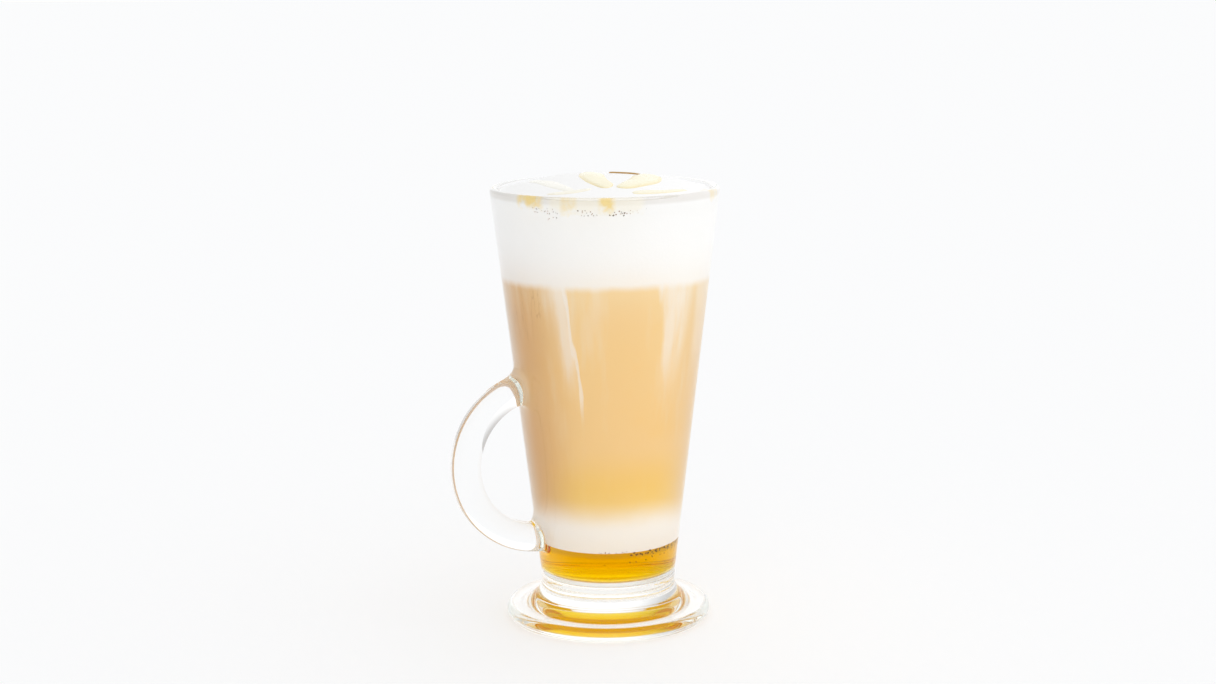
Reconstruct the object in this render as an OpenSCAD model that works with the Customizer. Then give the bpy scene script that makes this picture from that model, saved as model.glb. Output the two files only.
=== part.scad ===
// Tall latte glass with a foot and a C-shaped handle, filled with a layered
// latte: golden syrup, white milk, milky coffee and a domed cap of milk foam.
// Millimetres, +Z up. The origin is on the glass's axis, on the surface that
// the foot stands on, and the handle points along -X.

/* [Glass] */
// Height of the glass, from the table to the rim
glass_h = 150; // [124:1:184]
// Outer diameter at the rim
rim_d = 78; // [64:0.5:96]
// Outer diameter at the foot of the cone
cup_base_d = 46.6; // [38:0.5:56]
// Thickness of the wall
wall = 2.6; // [2:0.1:3.6]
// Height of the cup's inner floor above the table
floor_z = 17; // [15.5:0.5:24]
// Radius of the corner between inner floor and wall
floor_corner_r = 3; // [1:0.5:6]

/* [Foot] */
// Outer diameter of the foot
foot_d = 70.6; // [58:0.2:86]
// Height of the foot's rounded edge
foot_edge_h = 5.3; // [4:0.1:7]
// Radius that rounds the foot's edge, over and under
foot_edge_r = 2.5; // [1:0.1:2.6]
// Height at which the foot's flare ends and the heel of the cup starts
heel_z = 13.4; // [10:0.1:14.5]
// Height of the heel band between the flare and the cone
heel_h = 2.8; // [1.5:0.1:4]
// Depth of the fine groove over and under the heel band
groove = 0.3; // [0.1:0.05:0.6]

/* [Handle] */
// Radius of the handle's bow, to the middle of the bar
bow_r = 26.6; // [22:0.2:33]
// Height of the bow's centre above the table
bow_z = 57.2; // [48:0.2:72]
// How far the bow's centre lies inside the outer wall
bow_inset = 2.9; // [0:0.1:6]
// Thickness of the bar, across the bow
bar_t = 9.8; // [6:0.1:12]
// Width of the bar, along the glass
bar_w = 10; // [6:0.1:12]
// Radius of the bar's rounded corners
bar_corner_r = 2.8; // [0.5:0.1:2.9]
// Radius of the flare where the bar meets the wall
flare_r = 4.8; // [2:0.1:7]
// Rise of the lower flare's mouth above the bar
flare_lift = 1.6; // [0:0.1:4]
// Fall of the upper flare's mouth below the bar
flare_drop = 0.7; // [0:0.1:3]

/* [Drink] */
// Depth of the syrup at the bottom
syrup_depth = 11; // [5:0.5:18]
// Depth of the white milk on the syrup
milk_depth = 12; // [6:0.5:22]
// Depth of the foam, down from where it meets the wall
foam_depth = 29; // [15:0.5:45]
// How far below the rim the foam meets the wall
foam_edge_drop = 1.4; // [0.5:0.1:6]
// Rise of the foam's dome above its edge
foam_dome = 5.6; // [2:0.1:12]

/* [Hidden] */
$fn = 96;

// How finely a quarter arc of a profile is stepped, and a rim or corner arc
ARC_STEPS = 8;
CORNER_STEPS = 4;
// The flare stops at this angle, before its edge would become feather thin
FLARE_END_DEG = 65;
// Sweep of the bow past its lowest point, so that it ends inside the glass
BOW_TAIL_DEG = 25;
// The bar's flare starts this much inside the bar's own surface
FLARE_START_IN = 0.4;

rim_r = rim_d / 2;
cup_base_r = cup_base_d / 2;
foot_r = foot_d / 2;
cone_z = heel_z + heel_h;

// The wall's outer face is a straight line from the heel to the rim
wall_slope = (rim_r - cup_base_r) / (glass_h - cone_z);
wall_lean = atan(wall_slope);
wall_across = wall / cos(wall_lean);
function outer_r(z) = cup_base_r + wall_slope * (z - cone_z);
function inner_r(z) = outer_r(z) - wall_across;

function arc(cx, cy, rx, ry, a0, a1, steps) = [
    for (i = [0:steps])
        let (a = a0 + (a1 - a0) * i / steps) [cx + rx * cos(a), cy + ry * sin(a)]
];

// Rim: a half round whose ends run into the two faces of the leaning wall
lip_r = wall / 2;
lip_z = glass_h - lip_r;
lip_mid_r = outer_r(lip_z) - wall_across / 2;

// Foot: the flare is a hollow quarter, no wider than the foot leaves room for
foot_flat_min = 0.8;
flare_rise = heel_z - foot_edge_h;
flare_room = foot_r - foot_edge_r - cup_base_r - foot_flat_min;
flare_run = min(flare_rise, flare_room);

// Layers of the drink
syrup_top = floor_z + syrup_depth;
milk_top = syrup_top + milk_depth;
foam_edge_z = glass_h - foam_edge_drop;
coffee_top = foam_edge_z - foam_depth;

// Dome of the foam: a cap of a sphere over the foam's edge
cap_edge_r = inner_r(foam_edge_z);
cap_r = (cap_edge_r * cap_edge_r + foam_dome * foam_dome) / (2 * foam_dome);
cap_centre_z = foam_edge_z + foam_dome - cap_r;
cap_half_deg = asin(cap_edge_r / cap_r);

// Bow of the handle, in the plane of U, outwards from the axis, and Z
bow_u = outer_r(bow_z) - bow_inset;

// Heights where the middle of the bow crosses the wall's outer face:
// side is 1 for the upper crossing and -1 for the lower one
function bow_cross_z(side) =
    let (
        a = outer_r(0) - bow_u,
        b = wall_slope * a - bow_z,
        c = 1 + wall_slope * wall_slope,
        d = b * b - c * (a * a + bow_z * bow_z - bow_r * bow_r)
    )
    (-b + side * sqrt(d)) / c;

// Slope of the bow where it crosses the wall, in degrees above level, inwards
function bow_cross_deg(side) =
    let (u = outer_r(bow_cross_z(side)) - bow_u, v = bow_cross_z(side) - bow_z)
    side * atan2(u, side * v);

// Outline of the glass: foot, heel, cone, rim, inner wall and floor
glass_outline = concat(
    [[0, 0]],
    arc(foot_r - foot_edge_r, foot_edge_r, foot_edge_r, foot_edge_r, -90, 0, CORNER_STEPS),
    arc(foot_r - foot_edge_r, foot_edge_h - foot_edge_r, foot_edge_r, foot_edge_r, 0, 90, CORNER_STEPS),
    arc(cup_base_r - groove + flare_run, heel_z, flare_run, flare_rise, 270, 180, ARC_STEPS),
    [
        [cup_base_r, heel_z + groove],
        [cup_base_r, cone_z - 2 * groove],
        [cup_base_r - groove, cone_z - groove]
    ],
    [[outer_r(cone_z), cone_z]],
    arc(lip_mid_r, lip_z, wall_across / 2, lip_r, -wall_lean, 180 - wall_lean, 2 * ARC_STEPS),
    floor_outline()
);

// Inner floor and its corner, from the wall to the axis
function floor_outline() =
    let (corner_z = floor_z + floor_corner_r, corner_r = inner_r(corner_z) - floor_corner_r)
    concat(
        arc(corner_r, corner_z, floor_corner_r, floor_corner_r, 0, -90, 2 * CORNER_STEPS),
        [[0, floor_z]]
    );

// Section of the handle's bar, a square with rounded corners about the origin
bar_section = [
    for (q = [0:3])
        let (
            sx = (q == 0 || q == 3) ? 1 : -1,
            sy = q < 2 ? 1 : -1,
            cx = sx * (bar_t / 2 - bar_corner_r),
            cy = sy * (bar_w / 2 - bar_corner_r)
        )
        each arc(cx, cy, bar_corner_r, bar_corner_r, 90 * q, 90 * q + 90, CORNER_STEPS)
];

module bow() {
    translate([-bow_u, 0, bow_z])
        rotate([90, 0, 0])
            rotate([0, 0, 90])
                rotate_extrude(angle = 180 + BOW_TAIL_DEG)
                    translate([bow_r, 0])
                        polygon(bar_section);
}

// One flare: a trumpet along the bar, which opens towards the wall
module flare(side, lift) {
    z = bow_cross_z(side);
    start_r = bar_t / 2 - FLARE_START_IN;
    run = flare_r * sin(FLARE_END_DEG);
    mouth_r = start_r + flare_r * (1 - cos(FLARE_END_DEG));
    tilt = bow_cross_deg(side) + atan(lift / run);
    translate([-outer_r(z), 0, z + lift])
        rotate([0, 90 - tilt, 0])
            rotate_extrude()
                polygon(concat(
                    [[0, wall]],
                    [[mouth_r, wall]],
                    arc(start_r + flare_r, -run, flare_r, flare_r, 180 - FLARE_END_DEG, 180, ARC_STEPS),
                    [[0, -run]]
                ));
}

// Everything nearer the axis than the middle of the wall
module wall_core() {
    rotate_extrude()
        polygon([
            [0, 0],
            [outer_r(0) - wall_across / 2, 0],
            [outer_r(glass_h) - wall_across / 2, glass_h],
            [0, glass_h]
        ]);
}

module handle() {
    difference() {
        union() {
            bow();
            flare(1, -flare_drop);
            flare(-1, flare_lift);
        }
        wall_core();
    }
}

module glass() {
    color([0.86, 0.91, 0.9, 0.45]) {
        rotate_extrude() polygon(glass_outline);
        handle();
    }
}

// A layer of drink between two heights, out to the inner wall
module layer(low, high) {
    rotate_extrude()
        polygon([[0, low], [inner_r(low), low], [inner_r(high), high], [0, high]]);
}

module syrup() {
    color([0.92, 0.62, 0.07])
        rotate_extrude()
            polygon(concat(
                [[0, syrup_top]],
                [[inner_r(syrup_top), syrup_top]],
                floor_outline()
            ));
}

module milk() {
    color([0.96, 0.92, 0.86]) layer(syrup_top, milk_top);
}

module milk_coffee() {
    color([0.9, 0.75, 0.55]) layer(milk_top, coffee_top);
}

module foam() {
    color([0.98, 0.98, 0.98])
        rotate_extrude()
            polygon(concat(
                [[0, coffee_top], [inner_r(coffee_top), coffee_top]],
                arc(0, cap_centre_z, cap_r, cap_r, 90 - cap_half_deg, 90, 2 * ARC_STEPS)
            ));
}

glass();
syrup();
milk();
milk_coffee();
foam();
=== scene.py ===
# %% [markdown]
# # A layered latte in a footed glass
#
# The drink is built the way a barista pours it: golden syrup at the bottom, white milk on it,
# milky coffee, and a cap of milk foam with caramel sauce drawn on top. The glass around it is one
# pressed piece: a round foot, a heel, a tapered cup and a handle shaped like a C.
#
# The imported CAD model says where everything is. This script reads it first and keeps its box, so
# that every new piece can be worked out from it, and the finished model can be measured against it.

# %% The frame
import math
import random
from types import SimpleNamespace

import bmesh
import bpy
from mathutils import Matrix, Vector, noise


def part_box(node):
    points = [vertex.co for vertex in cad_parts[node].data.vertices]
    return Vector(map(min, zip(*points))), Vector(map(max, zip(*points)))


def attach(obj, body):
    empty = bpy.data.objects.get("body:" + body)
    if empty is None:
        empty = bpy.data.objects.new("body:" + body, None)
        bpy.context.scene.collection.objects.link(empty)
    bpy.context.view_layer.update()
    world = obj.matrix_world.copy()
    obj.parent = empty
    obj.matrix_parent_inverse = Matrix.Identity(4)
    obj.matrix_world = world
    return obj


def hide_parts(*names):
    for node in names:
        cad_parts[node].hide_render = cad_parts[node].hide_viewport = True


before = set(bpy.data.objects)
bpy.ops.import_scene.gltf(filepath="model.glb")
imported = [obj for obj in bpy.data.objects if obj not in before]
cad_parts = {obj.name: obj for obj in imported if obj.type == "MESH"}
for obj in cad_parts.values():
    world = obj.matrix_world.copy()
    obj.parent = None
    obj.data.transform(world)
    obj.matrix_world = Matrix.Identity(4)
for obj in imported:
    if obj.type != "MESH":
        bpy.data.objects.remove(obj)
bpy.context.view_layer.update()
print("CAD nodes:", sorted(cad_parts))

# %% [markdown]
# ## Sizes
#
# All sizes are metres in Blender, but a glass is easier to think of in millimetres, so sizes are
# written as a number times MM. The heights of the layers come from the boxes of the CAD nodes. The
# inside of the cup is a plain cone, so the radius of two layers at their tops gives it everywhere.

# %% Sizes from the frame
MM = 0.001

glass_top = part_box("glass")[1].z
cup_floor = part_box("syrup")[0].z
syrup_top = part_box("syrup")[1].z
milk_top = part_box("milk")[1].z
coffee_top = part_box("milk_coffee")[1].z
dome_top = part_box("foam")[1].z


def radius_at(node, height):
    """Radius of a round CAD node at a height where its outline has a corner."""
    corners = [v.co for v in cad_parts[node].data.vertices if abs(v.co.z - height) < 0.05 * MM]
    return max(math.hypot(co.x, co.y) for co in corners)


milk_r = radius_at("milk", milk_top)
coffee_r = radius_at("milk_coffee", coffee_top)
wall_slope = (coffee_r - milk_r) / (coffee_top - milk_top)
wall_lean = math.atan(wall_slope)

WALL = 2.6 * MM
wall_across = WALL / math.cos(wall_lean)


def inner_r(height):
    """Radius of the cup's inside at a height."""
    return milk_r + wall_slope * (height - milk_top)


def outer_r(height):
    """Radius of the cup's outside at a height."""
    return inner_r(height) + wall_across


print(f"wall leans {math.degrees(wall_lean):.2f} degrees, rim radius {outer_r(glass_top) / MM:.1f} mm")

# %% [markdown]
# ## Camera
#
# The glass is seen from a little above its rim, with the handle turned somewhat towards the viewer.
# The camera stands on a circle around the glass's axis. Its turn is built from four simple turns:
# around the axis, a hair to the side, down towards the glass, and a slight roll of the hand.

# %% Camera
VIEW_TURN = math.radians(23.5)
CAMERA_AWAY = 667.1 * MM
CAMERA_HEIGHT = 219.8 * MM
LENS_MM = 58.7055
SENSOR_MM = 36.0
LOOK_DOWN = math.radians(10.49)
LOOK_ASIDE = math.radians(0.057)
CAMERA_ROLL = math.radians(0.514)

to_view = Matrix.Rotation(-VIEW_TURN, 4, "Z")
camera_data = bpy.data.cameras.new("view")
camera_data.lens = LENS_MM
camera_data.sensor_width = SENSOR_MM
camera_data.sensor_fit = "HORIZONTAL"
camera_data.clip_start = 0.01
camera_data.clip_end = 100.0
camera = bpy.data.objects.new("view", camera_data)
camera.matrix_world = (
    to_view
    @ Matrix.Translation((0.0, -CAMERA_AWAY, CAMERA_HEIGHT))
    @ Matrix.Rotation(-LOOK_ASIDE, 4, "Z")
    @ Matrix.Rotation(math.pi / 2 - LOOK_DOWN, 4, "X")
    @ Matrix.Rotation(-CAMERA_ROLL, 4, "Z")
)
bpy.context.collection.objects.link(camera)
bpy.context.scene.camera = camera
bpy.context.scene.view_settings.view_transform = "Standard"
print("camera at", [round(c, 3) for c in camera.location])

# %% [markdown]
# ## Shader helpers
#
# Node materials get long. A few small helpers keep them readable. The first adds a node and sets its
# values, and each of the others does one common job with it: arithmetic, a soft step from one value
# to another, or a mix of two colours.

# %% Helpers for values and colours


def add_node(tree, kind, inputs=None, **settings):
    """Adds a node, sets its properties, and links or sets its inputs by name or number."""
    node = tree.nodes.new(kind)
    for name, value in settings.items():
        setattr(node, name, value)
    for key, value in (inputs or {}).items():
        socket = node.inputs[key]
        if isinstance(value, bpy.types.NodeSocket):
            tree.links.new(value, socket)
        else:
            socket.default_value = value
    return node


def math_node(tree, operation, *values):
    """Result of one arithmetic step on sockets or plain numbers."""
    node = add_node(tree, "ShaderNodeMath", dict(enumerate(values)), operation=operation)
    return node.outputs["Value"]


def times(tree, first, *others):
    """Product of sockets and plain numbers."""
    for other in others:
        first = math_node(tree, "MULTIPLY", first, other)
    return first


def ease(tree, value, start, end, low=0.0, high=1.0):
    """Goes smoothly from low to high as value goes from start to end. Start may be the larger."""
    node = add_node(
        tree,
        "ShaderNodeMapRange",
        {"Value": value, "From Min": start, "From Max": end, "To Min": low, "To Max": high},
        interpolation_type="SMOOTHSTEP",
    )
    return node.outputs["Result"]


def mix_colour(tree, amount, first, second):
    """Colour between first and second. Colours are sockets or tuples of four numbers."""
    node = add_node(tree, "ShaderNodeMix", data_type="RGBA")
    for socket, value in ((node.inputs[0], amount), (node.inputs[6], first), (node.inputs[7], second)):
        if isinstance(value, bpy.types.NodeSocket):
            tree.links.new(value, socket)
        else:
            socket.default_value = value
    return node.outputs[2]


# %% [markdown]
# Noise is the start of most finishes here. Read straight, it makes clouds. Taken around its middle,
# it makes an edge wander. And as a height, it makes fine bumps. A clear material needs two more
# things: how much mirror light its face throws back, and how its inside swallows light.

# %% Helpers for finishes


def cloudy(tree, vector, scale, detail, roughness=0.5):
    """Soft noise between 0 and 1. A larger scale is finer, and detail adds smaller clouds."""
    values = {"Vector": vector, "Scale": scale, "Detail": detail, "Roughness": roughness}
    return add_node(tree, "ShaderNodeTexNoise", values).outputs["Fac"]


def swing(tree, clouds, width):
    """Noise as a swing to both sides of nothing."""
    return times(tree, math_node(tree, "SUBTRACT", clouds, 0.5), width)


def raise_surface(tree, shader, height, strength, distance):
    """Gives a shader the bumps of a height."""
    values = {"Height": height, "Strength": strength, "Distance": distance}
    bump = add_node(tree, "ShaderNodeBump", values)
    tree.links.new(bump.outputs["Normal"], shader.inputs["Normal"])


def new_material(name):
    """An empty node material with one Principled shader on its output."""
    material = bpy.data.materials.new(name)
    material.use_nodes = True
    tree = material.node_tree
    tree.nodes.clear()
    output = add_node(tree, "ShaderNodeOutputMaterial")
    shader = add_node(tree, "ShaderNodeBsdfPrincipled")
    tree.links.new(shader.outputs["BSDF"], output.inputs["Surface"])
    return material, tree, shader


def clear_material(name, colour, ior, gleam, inner_colour, density):
    """A clear body. Gleam is its share of the usual mirror light, and its inside swallows light."""
    material, tree, shader = new_material(name)
    shader.inputs["Base Color"].default_value = colour
    shader.inputs["Transmission Weight"].default_value = 1.0
    shader.inputs["IOR"].default_value = ior
    shader.inputs["Specular Tint"].default_value = (gleam, gleam, gleam, 1.0)
    inside = add_node(tree, "ShaderNodeVolumeAbsorption", {"Color": inner_colour, "Density": density})
    output = tree.nodes["Material Output"]
    tree.links.new(inside.outputs["Volume"], output.inputs["Volume"])
    return material, tree, shader


# %% [markdown]
# ## Studio light
#
# Clear glass shows nothing but what is around it. In a bright room without lamps it would vanish, so
# the light is a big soft tent: bright on the right and above, dimmer on the left. The tent is the
# world itself, which lights the floor evenly, and the camera sees plain near-white where it looks
# past the floor.

# %% Studio light
TENT_BRIGHT = 1.17
TENT_DIM = 0.6
TENT_ROOF = 0.91
BACKDROP = 0.984

# How far towards the left, and how far up, a direction points where the light changes
DIM_SIDE = (0.05, 0.75)
ROOF_RISE = (0.2, 0.9)

world = bpy.data.worlds.new("soft tent")
bpy.context.scene.world = world
world.use_nodes = True
tree = world.node_tree
tree.nodes.clear()
direction = add_node(tree, "ShaderNodeTexCoord").outputs["Generated"]
leftwards = add_node(
    tree,
    "ShaderNodeVectorMath",
    {0: direction, 1: tuple(to_view.to_3x3() @ Vector((-1.0, 0.0, 0.0)))},
    operation="DOT_PRODUCT",
).outputs["Value"]
walls = ease(tree, leftwards, *DIM_SIDE, TENT_BRIGHT, TENT_DIM)
upwards = add_node(tree, "ShaderNodeSeparateXYZ", {"Vector": direction}).outputs["Z"]
tent = times(tree, walls, ease(tree, upwards, *ROOF_RISE, 1.0, TENT_ROOF))
seen = add_node(tree, "ShaderNodeLightPath").outputs["Is Camera Ray"]
unseen = math_node(tree, "SUBTRACT", 1.0, seen)
strength = math_node(tree, "ADD", times(tree, seen, BACKDROP), times(tree, unseen, tent))
background = add_node(
    tree,
    "ShaderNodeBackground",
    {"Color": (1.0, 1.0, 1.0, 1.0), "Strength": strength},
)
world_output = add_node(tree, "ShaderNodeOutputWorld")
tree.links.new(background.outputs["Background"], world_output.inputs["Surface"])
print(f"tent of light from {TENT_DIM} on the left to {TENT_BRIGHT} on the right")

# %% [markdown]
# ## Light paths
#
# Light that reaches milk behind a glass wall bounces many times between milk and glass before it
# finds its way out. Blender's usual limits stop it early and blur it on the way, which makes the
# drink look grey. With more bounces and no blur the milk is as white as it should be.

# %% Light paths
paths = bpy.context.scene.cycles
paths.max_bounces = 96
paths.diffuse_bounces = 24
paths.glossy_bounces = 64
paths.transmission_bounces = 64
paths.blur_glossy = 0.0

# %% [markdown]
# ## Mesh helpers
#
# Glass and drink are turned shapes: an outline in one plane, spun around the axis. The operator is
# bmesh.ops.spin. A full turn with use_merge closes the seam, and merging doubles closes the poles,
# where the outline meets the axis.

# %% Mesh helpers
SHARP_ANGLE = math.radians(50.0)


def arc(centre_r, centre_z, radius_r, radius_z, start_deg, end_deg, steps):
    """Points of an outline along part of an ellipse."""
    angles = [math.radians(start_deg + (end_deg - start_deg) * i / steps) for i in range(steps + 1)]
    return [(centre_r + radius_r * math.cos(a), centre_z + radius_z * math.sin(a)) for a in angles]


def lathe(outline, steps, start_angle=0.0):
    """Spins an outline of (radius, height) points a full turn and returns the bmesh."""
    bm = bmesh.new()
    turn = Matrix.Rotation(start_angle, 3, "Z")
    corners = [bm.verts.new(turn @ Vector((r, 0.0, z))) for r, z in outline]
    for a, b in zip(corners, corners[1:]):
        bm.edges.new((a, b))
    bmesh.ops.spin(
        bm,
        geom=bm.verts[:] + bm.edges[:],
        cent=(0.0, 0.0, 0.0),
        axis=(0.0, 0.0, 1.0),
        dvec=(0.0, 0.0, 0.0),
        angle=math.tau,
        steps=steps,
        use_merge=True,
        use_duplicate=False,
    )
    bmesh.ops.remove_doubles(bm, verts=bm.verts[:], dist=0.001 * MM)
    bmesh.ops.recalc_face_normals(bm, faces=bm.faces[:])
    return bm


def make_piece(bm, name, materials, node=None, levels=0):
    """Turns a bmesh into a finished piece that rides on the model and stands for its CAD node."""
    open_edges = sum(not edge.is_manifold for edge in bm.edges)
    mesh = bpy.data.meshes.new(name)
    bm.to_mesh(mesh)
    bm.free()
    mesh.shade_smooth()
    if not levels:
        mesh.set_sharp_from_angle(angle=SHARP_ANGLE)
    for material in materials:
        mesh.materials.append(material)
    piece = bpy.data.objects.new(name, mesh)
    bpy.context.collection.objects.link(piece)
    if levels:
        rounding = piece.modifiers.new("rounding", "SUBSURF")
        rounding.levels = levels
        rounding.render_levels = levels
    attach(piece, "root")
    if node:
        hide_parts(node)
    print(f"{name}: {len(mesh.polygons)} faces, {open_edges} open edges")
    return piece


# %% [markdown]
# ## Clear glass
#
# Soda-lime glass is clear with a faint green tint that shows only where it is thick, as in the foot
# and along the rim. The tint is a volume that swallows a little light, so it grows with the
# thickness by itself. Pressed glass is never quite flat, and a broad, weak bump gives its shiver.
#
# Where glass meets liquid, hardly any light is mirrored, because the two bend light alike. A shader
# doesn't know what lies behind its face, so there are two glasses: a dry one with a weak gleam, and
# a wet one without any, for the faces beside the syrup. With a full gleam white would hide the gold.

# %% Clear glass material
GLASS_IOR = 1.5
GLASS_CLEAR = (1.0, 1.0, 1.0, 1.0)
GLASS_GREEN = (0.6, 0.8, 0.6, 1.0)
GLASS_DENSITY = 0.8
DRY_GLEAM = 0.3
WET_GLEAM = 0.0


def clear_glass(name, gleam):
    """Pressed glass whose face throws back this share of the usual mirror light."""
    material, tree, shader = clear_material(
        name, GLASS_CLEAR, GLASS_IOR, gleam, GLASS_GREEN, GLASS_DENSITY
    )
    coords = add_node(tree, "ShaderNodeTexCoord").outputs["Object"]
    shiver = cloudy(tree, coords, scale=55.0, detail=0.0)
    raise_surface(tree, shader, shiver, strength=0.03, distance=0.2 * MM)
    haze = cloudy(tree, coords, scale=400.0, detail=2.0)
    tree.links.new(ease(tree, haze, 0.35, 0.75, 0.0, 0.02), shader.inputs["Roughness"])
    return material


# %% [markdown]
# ## The glass: foot, heel, cup and rim
#
# One closed outline goes from the middle of the underside out over the foot, up the flare, heel and
# cup, over the rim and down the inside to the middle of the floor. A Subdivision Surface rounds it,
# so the outline is a cage: it is spun wide by a small factor, because rounding pulls a ring inwards,
# and each fine edge, such as the groove over the heel, has a point close to either side to hold it.
# The underside isn't flat, as pressed glasses stand on a narrow ring around a shallow dish.

# %% Outline of the glass
GLASS_STEPS = 72
ROUNDING_LEVELS = 2
swell = 3.0 / (2.0 + math.cos(math.tau / GLASS_STEPS))

FOOT_R = 35.3 * MM
FOOT_EDGE_R = 2.5 * MM
FOOT_EDGE_H = 5.3 * MM
HEEL_R = 23.3 * MM
HEEL_Z = 13.4 * MM
CONE_Z = 16.2 * MM
GROOVE = 0.3 * MM
FLARE_RUN = 8.1 * MM
DISH_DEPTH = 1.0 * MM
FLOOR_CORNER = 3.0 * MM
LIP_HOLD = 1.6 * MM

# Rows of the cage: those that frame the two ends of the handle, the other outer ones, the inner ones
LOW_ROWS = [26.4 * MM, 30.4 * MM, 34.4 * MM, 38.4 * MM]
HIGH_ROWS = [76.6 * MM, 80.7 * MM, 84.8 * MM, 88.9 * MM]
OTHER_ROWS = [z * MM for z in (17.0, 19.5, 22.8, 43.5, 54.0, 65.0, 72.0, 93.5, 102.0, 120.0, 138.0)]
INNER_ROWS = [z * MM for z in (138.0, 110.0, 80.0, 50.0, 28.0, 22.5)]

edge_centre = FOOT_R - FOOT_EDGE_R
underside = [
    (0.0, DISH_DEPTH),
    (9.0 * MM, DISH_DEPTH),
    (20.0 * MM, DISH_DEPTH),
    (26.5 * MM, 0.85 * DISH_DEPTH),
    (29.3 * MM, 0.35 * DISH_DEPTH),
    (31.2 * MM, 0.0),
]
foot_edge = (
    arc(edge_centre, FOOT_EDGE_R, FOOT_EDGE_R, FOOT_EDGE_R, -90, 0, 4)
    + arc(edge_centre, FOOT_EDGE_H - FOOT_EDGE_R, FOOT_EDGE_R, FOOT_EDGE_R, 0, 90, 4)
)
flare = arc(HEEL_R - GROOVE + FLARE_RUN, HEEL_Z, FLARE_RUN, HEEL_Z - FOOT_EDGE_H, 270, 180, 6)
heel = [
    (HEEL_R - GROOVE, HEEL_Z + 0.12 * MM),
    (HEEL_R, HEEL_Z + 0.35 * MM),
    (HEEL_R, HEEL_Z + 0.7 * MM),
    (HEEL_R, CONE_Z - 0.95 * MM),
    (HEEL_R, CONE_Z - 0.6 * MM),
    (HEEL_R - GROOVE, CONE_Z - 0.35 * MM),
    (HEEL_R - GROOVE, CONE_Z - 0.22 * MM),
]
cone = [(outer_r(z), z) for z in sorted([CONE_Z] + LOW_ROWS + HIGH_ROWS + OTHER_ROWS)]
lip_z = glass_top - WALL / 2
lip_r = outer_r(lip_z) - wall_across / 2
lean_deg = math.degrees(wall_lean)
rim = (
    [(outer_r(lip_z - LIP_HOLD), lip_z - LIP_HOLD)]
    + arc(lip_r, lip_z, wall_across / 2, WALL / 2, -lean_deg, 180 - lean_deg, 8)
    + [(inner_r(lip_z - LIP_HOLD), lip_z - LIP_HOLD)]
)
inside = [(inner_r(z), z) for z in INNER_ROWS]
corner_z = cup_floor + FLOOR_CORNER
corner_r = inner_r(corner_z) - FLOOR_CORNER
cup_bottom = arc(corner_r, corner_z, FLOOR_CORNER, FLOOR_CORNER, 0, -90, 5) + [
    (0.6 * corner_r, cup_floor),
    (0.3 * corner_r, cup_floor),
    (0.0, cup_floor),
]
glass_outline = underside + foot_edge + flare + heel + cone + rim + inside + cup_bottom
print(f"glass outline: {len(glass_outline)} points")

# %% [markdown]
# ## The handle
#
# The handle is a bar with a rounded square section, bent in a bow and pressed in one piece with the
# cup. Where it meets the wall it opens like a trumpet. It could be a separate piece pushed into the
# wall, but clear glass would show the hidden end. So faces of the cup's cage are deleted, the section
# is spun along the bow, and bridge_loops joins the two holes to the bow's ends. The rounding then
# makes the trumpets by itself.

# %% Handle
BOW_R = 26.6 * MM
BOW_Z = 57.2 * MM
BOW_INSET = 2.9 * MM
BAR_ACROSS = 10.0 * MM
BAR_DEEP = 9.9 * MM
BAR_CORNER = 3.2 * MM
HOLE_CELLS = 5
BOW_STEPS = 20
BOW_START = math.radians(18.5)
BOW_END = math.radians(5.5)

bow_x = -(outer_r(BOW_Z) - BOW_INSET)
cell = math.tau / GLASS_STEPS


def hole_in_wall(bm, rows):
    """Deletes the faces of the outer wall where the handle starts and returns the hole's edges."""
    half_width = HOLE_CELLS * cell / 2

    def is_behind_handle(face):
        middle = face.calc_center_median()
        aside = math.atan2(middle.y, -middle.x)
        outside = math.hypot(middle.x, middle.y) > outer_r(middle.z) - wall_across / 2
        return outside and abs(aside) < half_width and rows[0] < middle.z < rows[-1]

    patch = [face for face in bm.faces if is_behind_handle(face)]
    edges = {edge for face in patch for edge in face.edges}
    hole_edges = [edge for edge in edges if sum(face in patch for face in edge.link_faces) == 1]
    bmesh.ops.delete(bm, geom=patch, context="FACES")
    return hole_edges


def add_bow(bm):
    """Spins the bar's section along the bow and returns the edges of its two open ends."""
    half_deep = BAR_DEEP / 2
    half_across = BAR_ACROSS / 2
    bend = BAR_CORNER * (1 - math.sqrt(0.5))
    # One quarter of the section, from the bar's side to its top: across the bar, and outwards
    quarter = [
        (half_across, 0.5 * (half_deep - BAR_CORNER)),
        (half_across - bend, half_deep - bend),
        (half_across - BAR_CORNER, half_deep),
        (0.3 * (half_across - BAR_CORNER), half_deep),
    ]
    section = (
        quarter
        + [(-a, d) for a, d in reversed(quarter)]
        + [(-a, -d) for a, d in quarter]
        + [(a, -d) for a, d in reversed(quarter)]
    )
    centre = Vector((bow_x, 0.0, BOW_Z))
    stand = Matrix.Rotation(-BOW_START, 3, "Y")
    ring = [bm.verts.new(centre + stand @ Vector((0.0, a, BOW_R + d))) for a, d in section]
    ring_edges = [bm.edges.new((a, b)) for a, b in zip(ring, ring[1:] + ring[:1])]
    spun = bmesh.ops.spin(
        bm,
        geom=ring + ring_edges,
        cent=centre,
        axis=(0.0, -1.0, 0.0),
        dvec=(0.0, 0.0, 0.0),
        angle=math.pi - BOW_START - BOW_END,
        steps=BOW_STEPS,
        use_merge=False,
        use_duplicate=False,
    )
    last_edges = [item for item in spun["geom_last"] if isinstance(item, bmesh.types.BMEdge)]
    return ring_edges, last_edges


# %% [markdown]
# The cage's cells are turned by half a cell, so that the odd number of them behind the handle lies
# evenly to both sides of it. A face's material number then tells the dry glass from the wet one.

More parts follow.
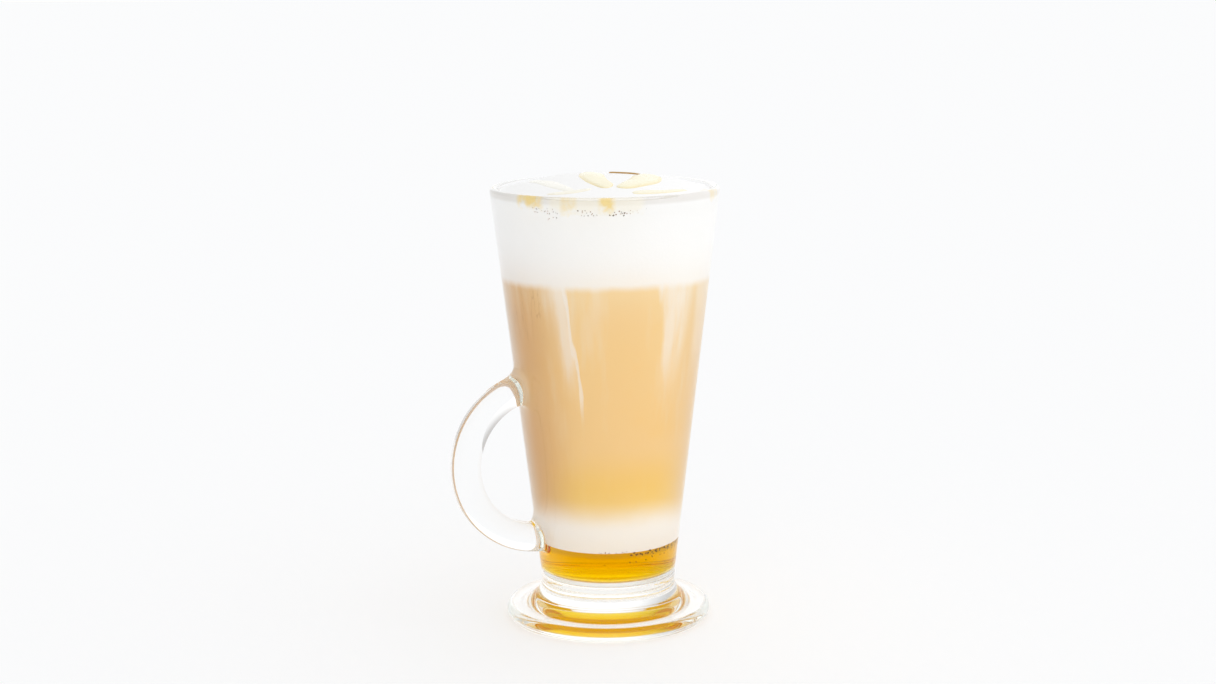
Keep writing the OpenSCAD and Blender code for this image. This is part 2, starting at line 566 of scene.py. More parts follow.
# %% Glass with its handle
bm = lathe([(r * swell, z) for r, z in glass_outline], GLASS_STEPS, cell / 2)
high_hole = hole_in_wall(bm, HIGH_ROWS)
low_hole = hole_in_wall(bm, LOW_ROWS)
high_end, low_end = add_bow(bm)
bmesh.ops.bridge_loops(bm, edges=high_hole + high_end)
bmesh.ops.bridge_loops(bm, edges=low_hole + low_end)
bmesh.ops.recalc_face_normals(bm, faces=bm.faces[:])
print(f"handle: holes of {len(high_hole)} and {len(low_hole)} edges, bar of {len(high_end)}")
for face in bm.faces:
    middle = face.calc_center_median()
    beside_syrup = cup_floor - MM < middle.z < syrup_top
    face.material_index = 1 if beside_syrup else 0
make_piece(
    bm,
    "glass_body",
    [clear_glass("clear_glass", DRY_GLEAM), clear_glass("wet_glass", WET_GLEAM)],
    "glass",
    ROUNDING_LEVELS,
)

# %% [markdown]
# ## Colour of the drink
#
# Milk, milky coffee and foam share one pattern of colour, read from the height and from the way round
# the glass, so that no edge shows where one piece ends and the next begins. It could be a painted
# texture, but a pattern of nodes stays sharp and costs nothing. Its first cell finds the place.
# Noise that is squeezed along the height gives upright wisps, which make every edge in it wander.

# %% Places on the glass
CLOUD_SCALE = 45.0
WISP_SCALE = 190.0
WISP_STRETCH = 0.12
SWAY_MM = 5.0
WANDER_DEG = 9.0


def read_places(tree):
    """What the pattern reads: heights are millimetres, angles degrees to the right of the view."""
    coords = add_node(tree, "ShaderNodeTexCoord").outputs["Object"]
    turned = add_node(tree, "ShaderNodeMapping", {"Vector": coords, "Rotation": (0.0, 0.0, VIEW_TURN)})
    parts = add_node(tree, "ShaderNodeSeparateXYZ", {"Vector": turned.outputs["Vector"]}).outputs
    turn = math_node(tree, "ARCTAN2", parts["X"], times(tree, parts["Y"], -1.0))
    angle = times(tree, turn, math.degrees(1.0))
    height = math_node(tree, "DIVIDE", parts["Z"], MM)
    stretched = add_node(tree, "ShaderNodeMapping", {"Vector": coords, "Scale": (1.0, 1.0, WISP_STRETCH)})
    clouds = cloudy(tree, coords, CLOUD_SCALE, detail=3.0)
    wisps = cloudy(tree, stretched.outputs["Vector"], WISP_SCALE, detail=4.0, roughness=0.55)
    sway = swing(tree, clouds, SWAY_MM)
    wander = swing(tree, wisps, WANDER_DEG)
    sine = math_node(tree, "SINE", math_node(tree, "RADIANS", angle))
    return SimpleNamespace(
        coords=coords,
        height=height,
        level=math_node(tree, "ADD", height, sway),
        sway=sway,
        angle=angle,
        bent=math_node(tree, "ADD", angle, wander),
        wander=wander,
        from_front=math_node(tree, "ABSOLUTE", angle),
        to_side=math_node(tree, "POWER", sine, 2.0),
        clouds=clouds,
        wisps=wisps,
    )


# %% [markdown]
# Three masks draw everything on the wall: a wedge that narrows towards its tip, a band with soft ends,
# and a thin line. A mask is 1 where its colour is full and 0 where there is none of it.

# %% Masks


def wedge(tree, at, top, tip, left_edge, right_edge, soft_left, soft_right):
    """Mask of a wedge on the wall. Each edge is its angle at the top and at the tip."""
    along = add_node(
        tree,
        "ShaderNodeMapRange",
        {"Value": at.height, "From Min": tip, "From Max": top, "To Min": 0.0, "To Max": 1.0},
    ).outputs["Result"]
    left = math_node(tree, "MULTIPLY_ADD", along, left_edge[0] - left_edge[1], left_edge[1])
    right = math_node(tree, "MULTIPLY_ADD", along, right_edge[0] - right_edge[1], right_edge[1])
    from_left = ease(tree, math_node(tree, "SUBTRACT", at.bent, left), -soft_left, soft_left)
    from_right = ease(tree, math_node(tree, "SUBTRACT", right, at.bent), -soft_right, soft_right)
    return times(tree, from_left, from_right, ease(tree, along, 0.0, 0.5))


def band(tree, value, low, high, soft):
    """Mask that is 1 between low and high and fades softly outside them."""
    return times(tree, ease(tree, value, low - soft, low), ease(tree, value, high + soft, high))


def thin_line(tree, value, half_width):
    """Mask of the thin line along which value is nothing."""
    return ease(tree, math_node(tree, "ABSOLUTE", value), half_width, 0.3 * half_width)


# %% [markdown]
# The coffee itself is tan, deepest low down where the last of the coffee settles, with golden clouds
# in it. Its two sides are darkened with painted shade, most on the handle's side, where the edge also
# gets a greyer tone that is part milk film and part painted shade. The painted shade fades out towards
# the back, so that no line shows there. Diffuse colour looks deeper through glass than in air, because
# the wall throws part of the light back in, so these colours are paler than what is seen.

# %% Tones of the coffee
DEEP_TAN = (0.962, 0.735, 0.28, 1.0)
MID_TAN = (0.962, 0.765, 0.43, 1.0)
TOP_TAN = (0.958, 0.766, 0.455, 1.0)
GOLDEN_TAN = (0.97, 0.74, 0.34, 1.0)
# Painted shade: the shaded and right tans darken the two sides, and the edge tan greys the handle's edge,
# part milk film and part shade
SHADED_TAN = (0.82, 0.575, 0.3, 1.0)
EDGE_FILM_AND_SHADE_TAN = (0.82, 0.7, 0.56, 1.0)
RIGHT_SHADE_TAN = (0.88, 0.71, 0.45, 1.0)
STREAK_MILK = (0.975, 0.93, 0.85, 1.0)

# Heights over which one tan turns into the next
DEEP_TO_MID = (50.0, 66.0)
MID_TO_TOP = (95.0, 119.0)

# Angles over which the painted shade of each side comes in, and over which it fades out behind
HANDLE_SIDE_SHADE = (-14.0, -62.0)
HANDLE_EDGE_FILM_AND_SHADE = (-56.0, -84.0)
RIGHT_SIDE_SHADE = (35.0, 85.0)
SIDE_SHADES_FADE = (155.0, 88.0)
EDGE_FILM_AND_SHADE_FADES = (115.0, 85.0)


def coffee_tones(tree, at):
    """Colour of the milky coffee, with painted shade on both sides."""
    tan = mix_colour(tree, ease(tree, at.level, *DEEP_TO_MID), DEEP_TAN, MID_TAN)
    tan = mix_colour(tree, ease(tree, at.level, *MID_TO_TOP), tan, TOP_TAN)
    golden = ease(tree, at.clouds, 0.52, 0.7, 0.0, 0.5)
    tan = mix_colour(tree, golden, tan, GOLDEN_TAN)
    # Painted shade on both sides of the coffee, fading out behind
    sides = ease(tree, at.from_front, *SIDE_SHADES_FADE)
    tan = mix_colour(tree, times(tree, ease(tree, at.bent, *HANDLE_SIDE_SHADE), sides), tan, SHADED_TAN)
    edge = ease(tree, at.bent, *HANDLE_EDGE_FILM_AND_SHADE, 0.0, 0.9)
    edge = times(tree, edge, ease(tree, at.from_front, *EDGE_FILM_AND_SHADE_FADES))
    tan = mix_colour(tree, edge, tan, EDGE_FILM_AND_SHADE_TAN)
    tan = mix_colour(tree, times(tree, ease(tree, at.bent, *RIGHT_SIDE_SHADE), sides), tan, RIGHT_SHADE_TAN)
    paler = times(tree, ease(tree, at.wisps, 0.5, 0.75), ease(tree, at.level, 60.0, 90.0, 0.05, 0.28))
    return mix_colour(tree, paler, tan, STREAK_MILK)


# %% [markdown]
# Under the foam milk runs down the wall. It makes a clear wedge on either side of the middle, a fainter
# one further round, and a bright ridge along the left one. A few thin brown drips of coffee hang high
# up on the handle's side.

# %% Streaks and drips
MILK_WHITE = (0.998, 0.998, 0.997, 1.0)
DRIP_BROWN = (0.72, 0.5, 0.27, 1.0)

# Each wedge: its top, its tip, its left and right edge at both, and how soft the two edges are
LEFT_WEDGE = (120.0, 76.0, (-39.0, -20.0), (-22.0, -16.0), 6.0, 1.3)
RIGHT_WEDGE = (120.0, 80.0, (32.0, 41.0), (58.0, 48.0), 2.0, 5.0)
FAR_WEDGE = (120.0, 84.0, (62.0, 66.0), (84.0, 74.0), 4.0, 6.0)
FAR_STRENGTH = 0.45

# The ridge leans: its angle changes with the height, from an angle at the table
RIDGE_LEAN = -0.15
RIDGE_FOOT = -4.6
RIDGE_HALF_WIDTH = 1.6
RIDGE_HEIGHTS = (84.0, 114.0, 12.0)
RIDGE_STRENGTH = 0.8

# A drip runs where the wisps have one value, within these heights and angles
DRIP_VALUE = 0.46
DRIP_HALF_WIDTH = 0.012
DRIP_HEIGHTS = (104.0, 117.0, 5.0)
DRIP_ANGLES = (-72.0, -44.0, 6.0)
DRIP_STRENGTH = 0.75


def milk_streaks(tree, at, colour):
    """Lays the wedges and the ridge of milk over a colour."""
    wedges = math_node(tree, "MAXIMUM", wedge(tree, at, *LEFT_WEDGE), wedge(tree, at, *RIGHT_WEDGE))
    grain = ease(tree, at.wisps, 0.3, 0.62, 0.35, 0.95)
    colour = mix_colour(tree, times(tree, wedges, grain), colour, STREAK_MILK)
    far = times(tree, wedge(tree, at, *FAR_WEDGE), FAR_STRENGTH)
    colour = mix_colour(tree, far, colour, STREAK_MILK)
    ridge_at = math_node(tree, "MULTIPLY_ADD", at.height, RIDGE_LEAN, RIDGE_FOOT)
    ridge = thin_line(tree, math_node(tree, "SUBTRACT", at.bent, ridge_at), RIDGE_HALF_WIDTH)
    ridge = times(tree, ridge, band(tree, at.height, *RIDGE_HEIGHTS), RIDGE_STRENGTH)
    return mix_colour(tree, ridge, colour, MILK_WHITE)


def coffee_drips(tree, at, colour):
    """Lays thin brown drips over a colour, along one contour of the wisps."""
    thread = thin_line(tree, math_node(tree, "SUBTRACT", at.wisps, DRIP_VALUE), DRIP_HALF_WIDTH)
    across = band(tree, at.angle, *DRIP_ANGLES)
    upright = band(tree, at.height, *DRIP_HEIGHTS)
    drips = times(tree, thread, across, upright, DRIP_STRENGTH)
    return mix_colour(tree, drips, colour, DRIP_BROWN)


# %% [markdown]
# The whole pattern goes from the bottom up: milk, coffee with its streaks and drips, and foam. The
# milk's edge is broad and reaches lower at the two sides, and the foam's edge is crisp.

# %% The whole pattern
FOAM_WHITE = (0.995, 0.9955, 0.994, 1.0)
FOAM_LOW = (0.996, 0.999, 1.0, 1.0)
MILK_TO_COFFEE = (36.0, 48.0)
COFFEE_TO_FOAM = (118.2, 121.6)
LOW_FOAM = (121.0, 131.0)
LOWER_AT_SIDES = 5.0
DRINK_GLEAM = 0.1

# How much the foam's edge sways, sags at the sides and wanders
EDGE_SWAY = 0.3
EDGE_SAG = 0.5
EDGE_WANDER = 0.12


def drink_colour(tree):
    """Colour of the layered drink, and the places it was read from."""
    at = read_places(tree)
    far_aside = math_node(tree, "POWER", at.to_side, 3.0)
    milk_level = math_node(tree, "MULTIPLY_ADD", far_aside, LOWER_AT_SIDES, at.level)
    coffee_share = ease(tree, milk_level, *MILK_TO_COFFEE)
    colour = mix_colour(tree, coffee_share, MILK_WHITE, coffee_tones(tree, at))
    colour = milk_streaks(tree, at, colour)
    colour = coffee_drips(tree, at, colour)
    edge = math_node(tree, "MULTIPLY_ADD", at.sway, EDGE_SWAY, at.height)
    edge = math_node(tree, "MULTIPLY_ADD", at.to_side, EDGE_SAG, edge)
    edge = math_node(tree, "MULTIPLY_ADD", at.wander, EDGE_WANDER, edge)
    foam_colour = mix_colour(tree, ease(tree, edge, *LOW_FOAM), FOAM_LOW, FOAM_WHITE)
    return mix_colour(tree, ease(tree, edge, *COFFEE_TO_FOAM), colour, foam_colour), at


def drink_material(name):
    """Milk or milky coffee: the pattern of colour, hardly any gleam and a fine grain."""
    material, tree, shader = new_material(name)
    colour, at = drink_colour(tree)
    tree.links.new(colour, shader.inputs["Base Color"])
    shader.inputs["Specular IOR Level"].default_value = DRINK_GLEAM
    fine = cloudy(tree, at.coords, scale=900.0, detail=3.0)
    tree.links.new(ease(tree, fine, 0.3, 0.7, 0.3, 0.4), shader.inputs["Roughness"])
    raise_surface(tree, shader, fine, strength=0.15, distance=0.1 * MM)
    return material


# %% [markdown]
# ## Milk and coffee
#
# Each layer is its own turned piece. It reaches a sixth of a millimetre into the wall, so that no
# thin film of air is left between drink and glass, which would shine like a mirror. Two layers meet
# at one height and end there, as two liquids do.

# %% Milk and coffee
DRINK_STEPS = 128
MILK_ROWS = 6
COFFEE_ROWS = 24
INTO_WALL = 0.16 * MM


def side_of_layer(low, high, rows):
    """Outline of a layer where it meets the wall, from its bottom to its top."""
    heights = [low + (high - low) * i / rows for i in range(rows + 1)]
    return [(inner_r(z) + INTO_WALL, z) for z in heights]


def flat_layer(low, high, rows):
    """A layer with a flat bottom and a flat top."""
    return lathe([(0.0, low)] + side_of_layer(low, high, rows) + [(0.0, high)], DRINK_STEPS)


make_piece(
    flat_layer(syrup_top, milk_top, MILK_ROWS),
    "milk_layer",
    [drink_material("white_milk")],
    "milk",
)
make_piece(
    flat_layer(milk_top, coffee_top, COFFEE_ROWS),
    "coffee_layer",
    [drink_material("milky_coffee")],
    "milk_coffee",
)

# %% [markdown]
# ## Syrup
#
# The syrup is the one clear layer, so it is a real body of coloured liquid: light passes through and
# loses its blue at once and some of its green, which gives a gold that deepens with thickness. Its
# face is tinted as well, so that the thin rim at the floor's corner is gold too and not pale yellow.
# Its outline follows the cup's floor and corner, and its top ends just inside the milk.

# %% Syrup
SYRUP_IOR = 1.36
SYRUP_FACE = (0.9, 0.7, 0.3, 1.0)
SYRUP_INSIDE = (0.9988, 0.9675, 0.0, 1.0)
SYRUP_DENSITY = 400.0
SYRUP_INTO_WALL = 0.1 * MM
SYRUP_INTO_MILK = 0.2 * MM
SYRUP_ROWS = [22.0 * MM, 25.0 * MM]


def golden_syrup():
    """A clear golden liquid, a little cloudy."""
    material, tree, shader = clear_material(
        "golden_syrup", SYRUP_FACE, SYRUP_IOR, WET_GLEAM, SYRUP_INSIDE, SYRUP_DENSITY
    )
    coords = add_node(tree, "ShaderNodeTexCoord").outputs["Object"]
    haze = cloudy(tree, coords, scale=250.0, detail=2.0)
    tree.links.new(ease(tree, haze, 0.4, 0.8, 0.0, 0.04), shader.inputs["Roughness"])
    return material


syrup_low = cup_floor - SYRUP_INTO_WALL
syrup_high = syrup_top + SYRUP_INTO_MILK
syrup_bend = FLOOR_CORNER + SYRUP_INTO_WALL
syrup_corner = arc(corner_r, corner_z, syrup_bend, syrup_bend, -90, 0, 8)
syrup_side = [(inner_r(z) + SYRUP_INTO_WALL, z) for z in SYRUP_ROWS + [syrup_high]]
make_piece(
    lathe([(0.0, syrup_low)] + syrup_corner + syrup_side + [(0.0, syrup_high)], DRINK_STEPS),
    "syrup_layer",
    [golden_syrup()],
    "syrup",
)

# %% [markdown]
# ## Foam
#
# The foam is white and domes over the rim. Its top isn't a perfect cap: poured foam has
# low swells and dimples. One function gives the height of the top at any place. The foam's own mesh
# is lifted by it, and so is everything that lies on the foam.

# %% Shape of the foam
FOAM_EDGE_DROP = 1.4 * MM
FOAM_ROWS = 16
FOAM_RINGS = 40
SWELL_HEIGHT = 0.35 * MM
SWELL_SIZE = 14.0 * MM

foam_edge_z = glass_top - FOAM_EDGE_DROP
foam_edge_r = radius_at("foam", foam_edge_z)
dome_rise = dome_top - foam_edge_z
dome_r = (foam_edge_r**2 + dome_rise**2) / (2 * dome_rise)


def foam_height(x, y):
    """Height of the foam's top at a place."""
    out = min(math.hypot(x, y), foam_edge_r)
    cap = dome_top - dome_r + math.sqrt(dome_r**2 - out**2)
    spread = 1.0 - (out / foam_edge_r) ** 4
    return cap + spread * SWELL_HEIGHT * (noise.noise(Vector((x, y, 0.3)) / SWELL_SIZE) - 0.3)


def foam_piece():
    """A turned layer whose flat top is then lifted to the foam's height."""
    side = side_of_layer(coffee_top, foam_edge_z, FOAM_ROWS)
    rings = range(1, FOAM_RINGS + 1)
    top = [(foam_edge_r * (1 - i / FOAM_RINGS), foam_edge_z) for i in rings]
    bm = lathe([(0.0, coffee_top)] + side + top, DRINK_STEPS)
    for vert in bm.verts:
        out = math.hypot(vert.co.x, vert.co.y)
        if vert.co.z > foam_edge_z - 0.01 * MM and out < foam_edge_r:
            vert.co.z = foam_height(vert.co.x, vert.co.y)
    return bm


print(f"the foam meets the wall at {foam_edge_z / MM:.1f} mm and domes {dome_rise / MM:.1f} mm above that")

# %% [markdown]
# Just under the rim the foam has a band of painted grey shade, and sauce that ran over the edge has
# dried there: a pale wash with four stains in it, two strong and two faint. They lie only next to the
# wall.
# Noise in the height frays their lower ends. The foam's own finish is fine bubbles, a Voronoi
# pattern, whose cells make both bumps and gloss uneven.

# %% Finish of the foam
RIM_AMBER = (0.95, 0.75, 0.34, 1.0)
RIM_CREAM = (0.985, 0.935, 0.8, 1.0)
# A band of painted grey shade on the foam just under the rim
RIM_SHADE_GREY = (0.885, 0.865, 0.845, 1.0)
RIM_SHADE_HEIGHTS = (146.8, 148.0)
RIM_SHADE_DISTANCES = (35.2, 35.8)
STAIN_DISTANCES = (33.6, 35.0)
STAIN_FADE = 1.8
FRAY_MM = 5.5
WASH_STRENGTH = 0.55
FAINT_STRENGTH = 0.5

# Each stain: from and to angle, how low it hangs, and how soft its two sides are
WASH = (-26.0, 17.0, 145.4, 5.0)
STRONG_STAINS = [(-47.0, -35.0, 147.0, 4.0), (-1.0, 3.0, 146.0, 3.5)]
FAINT_STAINS = [(-21.0, -16.0, 145.6, 3.0), (68.0, 76.0, 147.4, 3.0)]


def rim_stain(tree, height, angle, start, end, lowest, soft):
    """Mask of a stain that hangs from the rim between two angles down to a height."""
    hanging = ease(tree, height, lowest - STAIN_FADE, lowest + STAIN_FADE)
    return times(tree, band(tree, angle, start, end, soft), hanging)


def rim_colour(tree, at, fray, colour):
    """Lays a band of painted grey shade under the rim and the stains of sauce over the foam's colour."""
    parts = add_node(tree, "ShaderNodeSeparateXYZ", {"Vector": at.coords}).outputs
    squares = [math_node(tree, "POWER", parts[axis], 2.0) for axis in ("X", "Y")]
    out = math_node(tree, "SQRT", math_node(tree, "ADD", *squares))
    out_mm = math_node(tree, "DIVIDE", out, MM)
    at_wall = ease(tree, out_mm, *STAIN_DISTANCES)
    frayed = math_node(tree, "ADD", at.height, swing(tree, fray, FRAY_MM))

    # Painted grey shade along the foam's edge under the rim
    rim_shade = times(tree, ease(tree, at.height, *RIM_SHADE_HEIGHTS), ease(tree, out_mm, *RIM_SHADE_DISTANCES))
    colour = mix_colour(tree, rim_shade, colour, RIM_SHADE_GREY)
    wash = times(tree, rim_stain(tree, frayed, at.angle, *WASH), at_wall, WASH_STRENGTH)
    colour = mix_colour(tree, wash, colour, RIM_CREAM)
    strong = [rim_stain(tree, frayed, at.angle, *stain) for stain in STRONG_STAINS]
    faint = [rim_stain(tree, frayed, at.angle, *stain) for stain in FAINT_STAINS]
    faint = times(tree, math_node(tree, "MAXIMUM", *faint), FAINT_STRENGTH)
    amber = math_node(tree, "MAXIMUM", math_node(tree, "MAXIMUM", *strong), faint)
    amber = times(tree, amber, at_wall, ease(tree, fray, 0.3, 0.55, 0.55, 1.0))
    return mix_colour(tree, amber, colour, RIM_AMBER)


def milk_foam():
    """Foam with painted grey shade and stains under the rim, and fine bubbles."""
    material, tree, shader = new_material("milk_foam")
    colour, at = drink_colour(tree)
    fray = cloudy(tree, at.coords, scale=420.0, detail=3.0)
    tree.links.new(rim_colour(tree, at, fray, colour), shader.inputs["Base Color"])
    shader.inputs["Specular IOR Level"].default_value = DRINK_GLEAM
    bubbles = add_node(
        tree,
        "ShaderNodeTexVoronoi",
        {"Vector": at.coords, "Scale": 1100.0, "Randomness": 1.0},
    ).outputs["Distance"]
    tree.links.new(ease(tree, bubbles, 0.1, 0.7, 0.8, 0.55), shader.inputs["Roughness"])
    fine = math_node(tree, "MULTIPLY_ADD", fray, 1.5, bubbles)
    raise_surface(tree, shader, fine, strength=0.2, distance=0.1 * MM)
    return material


make_piece(foam_piece(), "foam_cap", [milk_foam()], "foam")

# %% [markdown]
# ## Caramel sauce on the foam
#
# The sauce is drawn from a bottle in strokes: two broad petals that nearly meet towards the viewer, a
# thin dark line between their far ends, dark with painted shade along the crest, and thin pale lines
# that run to the rim. A stroke is a flat grid of faces, pushed down once to close it underneath. Its
# grid is then laid along a smooth path on the foam, as wide as the path says, crowned in the middle and
# sunk a little at its underside. Each point keeps how far it is from the stroke's edge, because sauce
# gathers and darkens there.

# %% Strokes of sauce
STROKE_CELLS_ALONG = 40
STROKE_CELLS_ACROSS = 10
SUNK = 0.35 * MM
EDGE_LIP = 0.04 * MM
ROUND_END = 0.16
RAGGED = 0.22
RAGGED_SIZE = 9.0 * MM
NEARBY = 0.01
THINNEST = 0.02 * MM


def along_path(points, share):
    """Place on the smooth curve through some points. Share goes from 0 to 1."""
    spans = len(points) - 1
    at = min(share * spans, spans - 0.000001)
    i = int(at)
    t = at - i
    start = points[i]
    end = points[i + 1]
    before = points[max(i - 1, 0)]
    after = points[min(i + 2, spans)]
    bend = (2 * before - 5 * start + 4 * end - after) * t**2
    return 0.5 * (2 * start + (end - before) * t + bend + (3 * start - before - 3 * end + after) * t**3)


def add_stroke(bm, points, depth, tone):
    """One closed stroke. Its points are millimetres in the view's turn: right, away, half width."""
    edge_layer = bm.verts.layers.float["from_edge"]
    tone_layer = bm.verts.layers.float["tone"]
    grid = bmesh.ops.create_grid(
        bm, x_segments=STROKE_CELLS_ALONG, y_segments=STROKE_CELLS_ACROSS, size=1.0
    )
    top = grid["verts"]
    faces = list({face for vert in top for face in vert.link_faces})
    pushed = bmesh.ops.extrude_face_region(bm, geom=faces, use_keep_orig=True)
    low = {item for item in pushed["geom"] if isinstance(item, bmesh.types.BMVert)}
    path = [Vector(point) * MM for point in points]
    for vert in top + list(low):
        share = (vert.co.x + 1) / 2
        across = vert.co.y
        here = along_path(path, share)
        ahead = along_path(path, min(share + NEARBY, 1.0)) - along_path(path, max(share - NEARBY, 0.0))
        side = Vector((-ahead.y, ahead.x)).normalized()
        to_end = min(share, 1 - share) / ROUND_END
        roundness = math.sqrt(max(1 - max(1 - to_end, 0.0) ** 2, 0.0))
        beside = Vector((here.x, here.y, math.copysign(SWELL_SIZE, across)))
        ragged = 1 + RAGGED * noise.noise(beside / RAGGED_SIZE)
        half = max(here.z * roundness * ragged, THINNEST)
        flat = here.xy + side * across * half
        place = to_view @ Vector((flat.x, flat.y, 0.0))
        crown = (1 - across**4) * roundness
        lift = -SUNK if vert in low else EDGE_LIP + depth * crown
        vert.co = (place.x, place.y, foam_height(place.x, place.y) + lift)
        vert[edge_layer] = min(1 - abs(across), 2 * to_end)
        vert[tone_layer] = tone


# %% [markdown]
# ## The finish of the sauce
#
# The sauce is thin, so the white foam shines through its middle and it looks like pale butter there,
# amber towards its edges, and brown only where a line of it stands up, a brown that is painted shade.
# The strokes' own two values, how far from the edge and how strong, drive the colour.

# %% Finish of the sauce
SAUCE_PALE = (0.98, 0.925, 0.7, 1.0)
SAUCE_AMBER = (0.93, 0.81, 0.5, 1.0)
SAUCE_MILKY = (0.985, 0.97, 0.9, 1.0)
# Brown for the line along the crest is painted shade
SAUCE_SHADE_BROWN = (0.5, 0.3, 0.1, 1.0)


def caramel_sauce():
    """Sauce that is milky where weak, butter with amber edges where thicker, and painted brown shade where
    strong.
    """
    material, tree, shader = new_material("caramel_sauce")
    from_edge = add_node(tree, "ShaderNodeAttribute", attribute_name="from_edge").outputs["Fac"]
    tone = add_node(tree, "ShaderNodeAttribute", attribute_name="tone").outputs["Fac"]
    coords = add_node(tree, "ShaderNodeTexCoord").outputs["Object"]
    flow = cloudy(tree, coords, scale=160.0, detail=1.0)
    uneven = math_node(tree, "MULTIPLY_ADD", flow, 0.16, from_edge)
    body = mix_colour(tree, ease(tree, uneven, 0.05, 0.5), SAUCE_AMBER, SAUCE_PALE)
    colour = mix_colour(tree, ease(tree, tone, 0.1, 0.5), SAUCE_MILKY, body)
    # Painted shade: the strongest stroke turns brown
    colour = mix_colour(tree, ease(tree, tone, 0.6, 0.95), colour, SAUCE_SHADE_BROWN)
    tree.links.new(colour, shader.inputs["Base Color"])
    tree.links.new(ease(tree, flow, 0.3, 0.7, 0.22, 0.38), shader.inputs["Roughness"])
    raise_surface(tree, shader, flow, strength=0.02, distance=0.1 * MM)
    return material


# %% [markdown]
# Each stroke has a depth, a strength and a path. A strength of 0 is milky, 0.5 is butter and 1 is
# brown, a brown that is painted shade. The points of a path are chosen in millimetres as the viewer
# sees the foam: to the right, away, and half the stroke's width there.

# %% Drawing the sauce
STROKES = {
    "left petal": (
        0.5 * MM,
        0.5,
        [(-5.9, 5.5, 2.6), (-4.4, -4.0, 3.9), (-2.8, -14.0, 3.7), (-0.6, -20.5, 3.3), (1.0, -24.2, 1.8)],
    ),
    "right petal": (
        0.5 * MM,
        0.58,
        [(15.5, 4.0, 3.0), (14.4, -5.0, 5.2), (11.6, -15.0, 4.9), (8.0, -20.8, 3.6), (4.0, -23.4, 1.4)],
    ),
    # Its brown is painted shade along the crest
    "shaded crest line": (
        0.45 * MM,
        0.95,
        [(1.4, 3.6, 0.35), (5.2, 2.4, 0.6), (8.6, 1.8, 0.7), (12.2, 0.4, 0.45)],
    ),
    "long line": (
        0.25 * MM,
        0.15,
        [(-25.0, 2.0, 1.3), (-20.5, -8.0, 2.2), (-16.0, -17.5, 2.3), (-9.8, -26.6, 1.3)],
    ),
    "front line": (
        0.25 * MM,
        0.25,
        [(-18.8, -25.4, 0.7), (-14.5, -26.2, 1.3), (-9.6, -26.3, 1.4), (-4.4, -25.0, 0.9)],
    ),
    "right line": (
        0.3 * MM,
        0.36,
        [(9.0, -28.4, 1.1), (14.0, -26.2, 1.7), (20.0, -23.0, 1.2), (27.0, -16.6, 0.7)],
    ),
}

bm = bmesh.new()
bm.verts.layers.float.new("from_edge")
bm.verts.layers.float.new("tone")
for depth, strength, path in STROKES.values():
    add_stroke(bm, path, depth, strength)
bmesh.ops.recalc_face_normals(bm, faces=bm.faces[:])
print("strokes:", ", ".join(STROKES))
make_piece(bm, "sauce_strokes", [caramel_sauce()])

# %% [markdown]
# ## Dark specks
#
# Ground spice floats up to where two layers meet and sticks to the glass. Dozens of specks sit along
# the top of the syrup on the right, some hang in it, and others lie under the stains at the rim. Each
# is a small rounded stone, an icosphere squashed to a third of its width and stood flat against the
# wall, about a quarter of a millimetre deep in the glass, so that the drink doesn't hide it.

# %% Dark specks
SPECK_SEED = 11
SPECK_FLATNESS = 0.35
SPECK_STRETCH = (0.7, 1.3)
SPECK_INTO_WALL = 0.24 * MM
SPECK_DARK = (0.03, 0.014, 0.006, 1.0)
SPECK_RUST = (0.3, 0.12, 0.03, 1.0)

# Each group: count, from and to angle, height, spread of the height, smallest and largest radius
SPECK_GROUPS = [
    (40, 20.0, 84.0, 27.35, 0.5, 0.22, 0.42),
    (12, 40.0, 80.0, 26.0, 0.9, 0.16, 0.3),
    (7, -20.0, 66.0, 24.0, 2.2, 0.18, 0.3),
    (12, -8.0, 20.0, 28.2, 0.3, 0.1, 0.2),
    (20, -40.0, -24.0, 145.3, 0.9, 0.09, 0.17),
    (4, -34.0, -24.0, 142.9, 0.6, 0.12, 0.22),
    (14, -17.0, -3.0, 145.0, 0.9, 0.09, 0.2),
    (13, 2.0, 12.0, 144.9, 0.8, 0.12, 0.26),
    (6, 12.0, 22.0, 145.4, 0.9, 0.08, 0.14),
]


def dark_specks():
    """Ground spice: nearly black, with some rust brown."""
    material, tree, shader = new_material("dark_specks")
    coords = add_node(tree, "ShaderNodeTexCoord").outputs["Object"]
    grain = cloudy(tree, coords, scale=600.0, detail=2.0)
    colour = mix_colour(tree, ease(tree, grain, 0.35, 0.62), SPECK_DARK, SPECK_RUST)
    tree.links.new(colour, shader.inputs["Base Color"])
    tree.links.new(ease(tree, grain, 0.3, 0.7, 0.5, 0.8), shader.inputs["Roughness"])
    return material


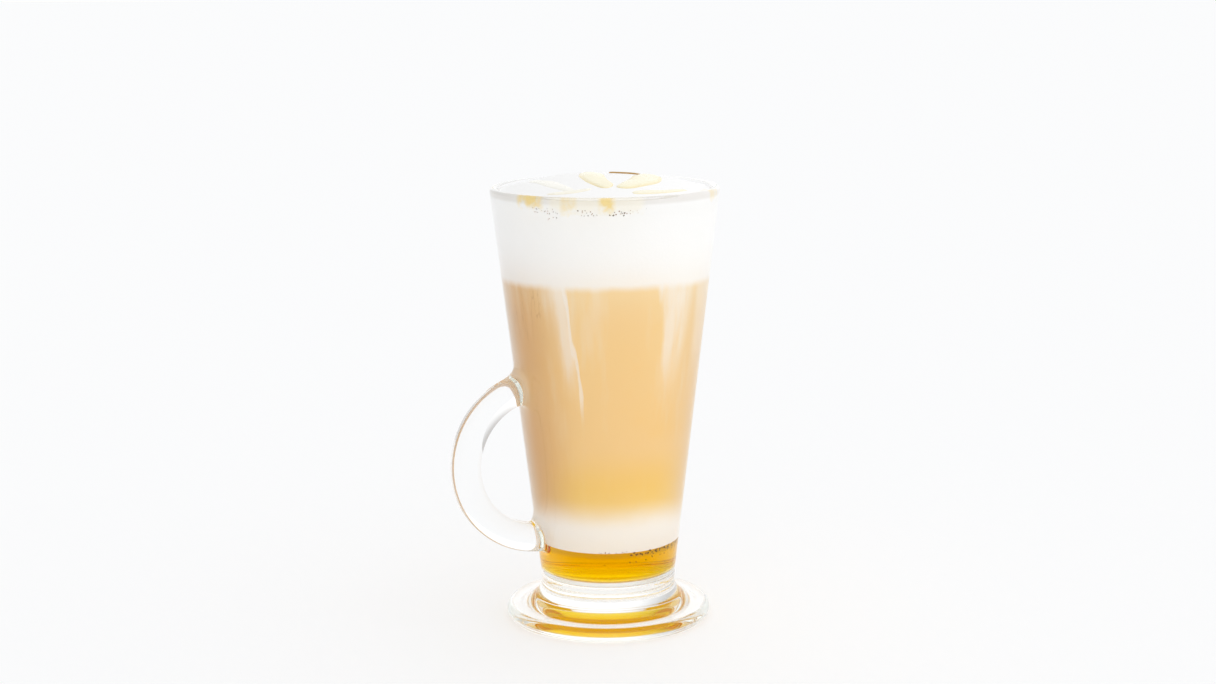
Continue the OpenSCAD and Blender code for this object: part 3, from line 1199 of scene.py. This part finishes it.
def add_speck(bm, angle, height, size):
    """One speck against the wall, seen at an angle to the right of the view."""
    out = inner_r(height) + SPECK_INTO_WALL - size * SPECK_FLATNESS * 0.5
    around = math.radians(angle)
    place = to_view @ Vector((out * math.sin(around), -out * math.cos(around), height))
    turn = Matrix.Rotation(math.atan2(place.y, place.x), 4, "Z")
    tumble = Matrix.Rotation(random.uniform(0.0, math.tau), 4, "X")
    stretch = random.uniform(*SPECK_STRETCH)
    squash = Matrix.Diagonal((size * SPECK_FLATNESS, size * stretch, size / stretch, 1.0))
    stand = Matrix.Translation(place) @ turn @ tumble @ squash
    bmesh.ops.create_icosphere(bm, subdivisions=1, radius=1.0, matrix=stand)


random.seed(SPECK_SEED)
bm = bmesh.new()
for count, first_angle, last_angle, middle, spread, smallest, largest in SPECK_GROUPS:
    for _ in range(count):
        add_speck(
            bm,
            random.uniform(first_angle, last_angle),
            (middle + random.uniform(-spread, spread)) * MM,
            random.uniform(smallest, largest) * MM,
        )
print("specks:", sum(group[0] for group in SPECK_GROUPS))
make_piece(bm, "dark_specks", [dark_specks()])

# %% [markdown]
# ## Floor
#
# The floor is a plain pale disc, wide enough to reach the horizon, a hair under the foot so that no
# two faces lie in each other. Half of its paleness is its own glow, so that the tent needs no more
# light than the drink does, and the other half takes the soft shadow of the glass.

# %% Floor
FLOOR_R = 20.0
FLOOR_SIDES = 96
FLOOR_DROP = 0.2 * MM
FLOOR_WHITE = (0.495, 0.5, 0.508, 1.0)
FLOOR_GLOW = 0.49

floor_material, tree, shader = new_material("pale_floor")
shader.inputs["Base Color"].default_value = FLOOR_WHITE
shader.inputs["Emission Color"].default_value = (1.0, 1.0, 1.0, 1.0)
shader.inputs["Emission Strength"].default_value = FLOOR_GLOW
shader.inputs["Roughness"].default_value = 0.9
shader.inputs["Specular IOR Level"].default_value = 0.0
bm = bmesh.new()
bmesh.ops.create_circle(bm, cap_ends=True, segments=FLOOR_SIDES, radius=FLOOR_R)
bmesh.ops.translate(bm, verts=bm.verts[:], vec=(0.0, 0.0, -FLOOR_DROP))
floor_mesh = bpy.data.meshes.new("floor")
bm.to_mesh(floor_mesh)
bm.free()
floor_mesh.materials.append(floor_material)
floor = bpy.data.objects.new("floor", floor_mesh)
bpy.context.collection.objects.link(floor)
print(f"floor: {FLOOR_R:.0f} m in radius")
